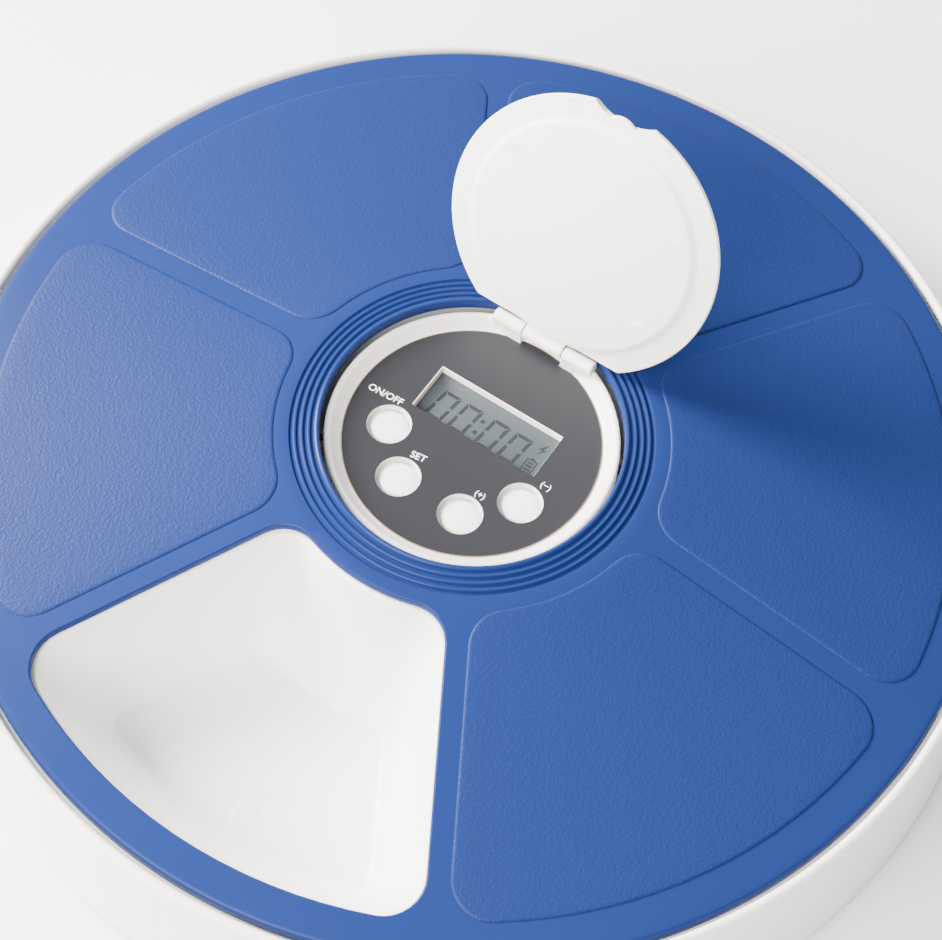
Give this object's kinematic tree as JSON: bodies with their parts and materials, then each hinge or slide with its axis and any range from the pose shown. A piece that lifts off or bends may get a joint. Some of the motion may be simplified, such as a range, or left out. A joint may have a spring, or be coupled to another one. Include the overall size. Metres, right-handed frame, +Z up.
{
  "type": "automatic pet feeder",
  "caption": "Round programmable feeder: a covered food tray with wedge compartments turns under a lid with one open window, round a central control panel with a flip cover.",
  "frame": {"origin": "on the floor under the middle of the base", "axes": "+Z up; the open compartment and the front of the control panel face -Y, and the flip cover's hinge is on the +Y side of the panel"},
  "size_m": [0.3184, 0.3184, 0.135],
  "materials": {
    "shell": "satin warm white",
    "lid_blue": "glossy blue with grained pads",
    "tray": "satin warm white",
    "label": "dark grey printed film",
    "display": "grey-green liquid crystal",
    "button": "satin white",
    "board": "green solder mask",
    "black": "matt black",
    "steel": "zinc plated",
    "gear": "natural acetal",
    "rubber": "matt",
    "cell": "printed jacket"
  },
  "bodies": {
    "base": {"base_shell": "shell", "foot_1": "rubber", "foot_2": "rubber", "foot_3": "rubber", "foot_4": "rubber", "base_plate": "shell", "plate_screw_1": "steel", "plate_screw_2": "steel", "plate_screw_3": "steel", "plate_screw_4": "steel", "gearbox": "gear", "drive_motor": "steel", "control_panel": "shell", "panel_label": "label", "main_board": "board", "switch_1": "black", "switch_2": "black", "switch_3": "black", "switch_4": "black", "board_screw_1": "steel", "board_screw_2": "steel", "board_screw_3": "steel", "board_screw_4": "steel", "display_glass": "display", "display_frame": "gear", "buzzer": "black", "battery_box": "black", "battery_1": "cell", "battery_2": "cell", "battery_3": "cell", "battery_4": "cell", "battery_contact_1": "steel", "battery_contact_2": "steel", "bottom_cover": "shell", "cover_screw_1": "steel", "cover_screw_2": "steel", "cover_screw_3": "steel", "power_inlet": "black", "hinge_pin": "steel"},
    "lid": {"lid": "lid_blue"},
    "tray": {"food_tray": "tray"},
    "pinion": {"drive_pinion": "gear"},
    "cover": {"flip_cover": "shell"},
    "door": {"battery_door": "shell"},
    "on_off_button": {"button_on_off": "button"},
    "set_button": {"button_set": "button"},
    "plus_button": {"button_plus": "button"},
    "minus_button": {"button_minus": "button"}
  },
  "joints": [
    {"name": "tray_turn", "type": "hinge", "parent": "base", "child": "tray", "pos_m": [0, 0, 0.02], "axis": [0, 0, 1], "continuous": true},
    {"name": "pinion_turn", "type": "hinge", "parent": "base", "child": "pinion", "pos_m": [0, 0.033, 0.029], "axis": [0, 0, 1], "continuous": true},
    {"name": "cover_hinge", "type": "hinge", "parent": "base", "child": "cover", "pos_m": [0, 0.0376, 0.063], "axis": [1, 0, 0], "range_deg": [0, 113.8]},
    {"name": "lid_twist", "type": "hinge", "parent": "base", "child": "lid", "pos_m": [0, 0, 0.045], "axis": [0, 0, 1], "range_deg": [-5, 0]},
    {"name": "door_slide", "type": "slide", "parent": "base", "child": "door", "axis": [0, -1, 0], "range_m": [0, 0.034]},
    {"name": "on_off_press", "type": "slide", "parent": "base", "child": "on_off_button", "axis": [0, 0, -1], "range_m": [0, 0.0007], "stiffness_N_per_m": 2000},
    {"name": "set_press", "type": "slide", "parent": "base", "child": "set_button", "axis": [0, 0, -1], "range_m": [0, 0.0007], "stiffness_N_per_m": 2000},
    {"name": "plus_press", "type": "slide", "parent": "base", "child": "plus_button", "axis": [0, 0, -1], "range_m": [0, 0.0007], "stiffness_N_per_m": 2000},
    {"name": "minus_press", "type": "slide", "parent": "base", "child": "minus_button", "axis": [0, 0, -1], "range_m": [0, 0.0007], "stiffness_N_per_m": 2000}
  ],
  "couplings": [
    {"joint": "pinion_turn", "follows": "tray_turn", "ratio": 3.75}
  ]
}
